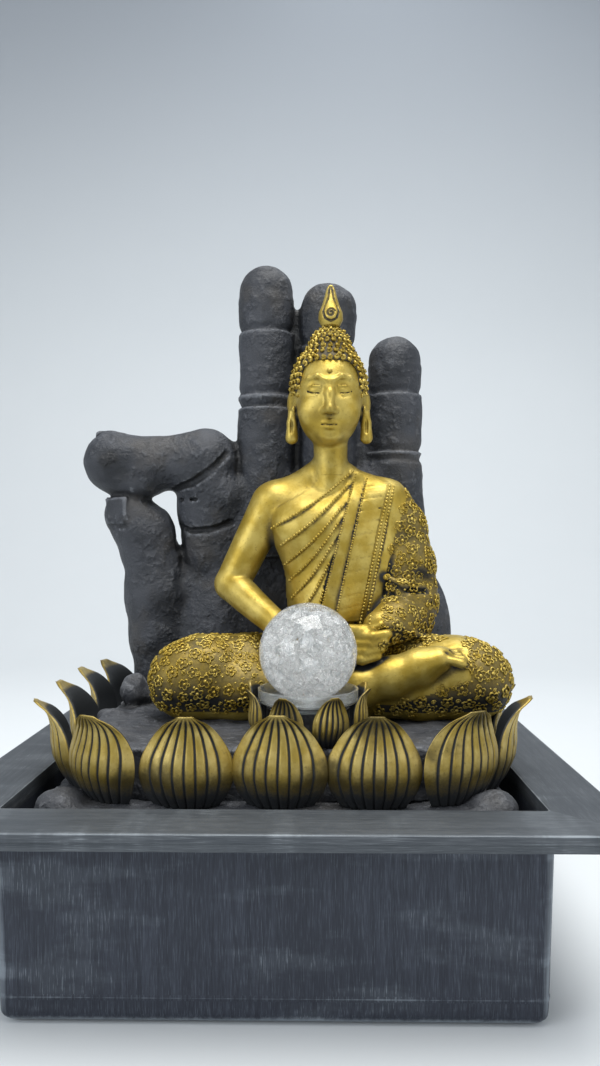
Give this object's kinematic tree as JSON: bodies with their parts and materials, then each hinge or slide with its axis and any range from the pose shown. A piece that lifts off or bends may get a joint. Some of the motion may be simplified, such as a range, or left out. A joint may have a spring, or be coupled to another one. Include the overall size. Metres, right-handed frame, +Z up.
{
  "type": "tabletop water fountain",
  "caption": "Indoor water fountain: square basin with a flat rim, lotus petals, an open hand behind a seated figure, and a glass ball turning on a lit dish.",
  "frame": {"origin": "centre of the footprint, on the table under the foot pads", "axes": "+X to the right as seen from the front, +Y to the back, +Z up; the figure faces -Y"},
  "size_m": [0.25, 0.25, 0.316],
  "materials": {
    "brushed_basin": "dark blue-grey, brushed upright, worn pale along the edges",
    "brushed_rim": "blue-grey, brushed along each side, pale worn edge",
    "rubber": "matt black",
    "grey_stone": "rough cast stone",
    "slate_stone": "pitted dark cast stone, rubbed pale on its high places",
    "petal_gold": "antiqued gold over cast stone, dark in the grooves",
    "antique_gold": "antiqued gold over cast stone, dark in the recesses",
    "crackle_glass": "clear with fine white cracks inside",
    "clear_plastic": "clear, smooth",
    "white_plastic": "moulded, satin",
    "pump_plastic": "moulded, satin black",
    "copper": "enamelled winding wire",
    "steel": "ground"
  },
  "bodies": {
    "basin": {"basin_tub": "brushed_basin", "basin_rim": "brushed_rim", "foot_pads": "rubber", "cable_grommet": "rubber", "pump_housing": "pump_plastic", "pump_chamber": "pump_plastic", "stator_coils": "copper", "suction_cups": "rubber", "impeller_shaft": "steel", "rear_bush": "rubber"},
    "sculpture": {"rock_mound": "grey_stone", "stone_deck": "grey_stone", "outer_petal_1": "petal_gold", "outer_petal_2": "petal_gold", "outer_petal_3": "petal_gold", "outer_petal_4": "petal_gold", "outer_petal_5": "petal_gold", "outer_petal_6": "petal_gold", "outer_petal_7": "petal_gold", "outer_petal_8": "petal_gold", "outer_petal_9": "petal_gold", "outer_petal_10": "petal_gold", "outer_petal_11": "petal_gold", "outer_petal_12": "petal_gold", "outer_petal_13": "petal_gold", "outer_petal_14": "petal_gold", "outer_petal_15": "petal_gold", "outer_petal_16": "petal_gold", "outer_petal_17": "petal_gold", "outer_petal_18": "petal_gold", "lotus_pedestal": "grey_stone", "inner_petals": "petal_gold", "clear_dish": "clear_plastic", "led_ring": "white_plastic", "led_lens": "clear_plastic", "led_lead": "rubber", "led_plug": "rubber", "water_nozzle": "white_plastic", "water_hose": "clear_plastic", "hand_palm": "slate_stone", "middle_finger": "slate_stone", "ring_finger": "slate_stone", "little_finger": "slate_stone", "index_finger": "slate_stone", "thumb": "slate_stone", "torso": "antique_gold", "head": "antique_gold", "hair_cap": "antique_gold", "flame_finial": "antique_gold", "right_arm": "antique_gold", "left_arm": "antique_gold", "lap_hand": "antique_gold", "right_leg": "antique_gold", "left_leg": "antique_gold", "upturned_foot": "antique_gold"},
    "ball": {"glass_ball": "crackle_glass"},
    "rotor": {"impeller": "white_plastic"},
    "intake": {"intake_cover": "pump_plastic", "front_bush": "rubber"},
    "gate": {"flow_gate": "white_plastic"}
  },
  "joints": [
    {"name": "sculpture_lift", "type": "slide", "parent": "basin", "child": "sculpture", "axis": [0, 0, 1], "range_m": [0, 0.1]},
    {"name": "ball_spin", "type": "hinge", "parent": "sculpture", "child": "ball", "pos_m": [0.0124, -0.059, 0.129], "axis": [0, 0, 1], "continuous": true},
    {"name": "impeller_spin", "type": "hinge", "parent": "basin", "child": "rotor", "pos_m": [0.0124, -0.045, 0.024], "axis": [0, 1, 0], "continuous": true},
    {"name": "intake_cover_pull", "type": "slide", "parent": "basin", "child": "intake", "axis": [0, -1, 0], "range_m": [0, 0.006]},
    {"name": "flow_gate_slide", "type": "slide", "parent": "intake", "child": "gate", "axis": [1, 0, 0], "range_m": [0, 0.0045]}
  ]
}
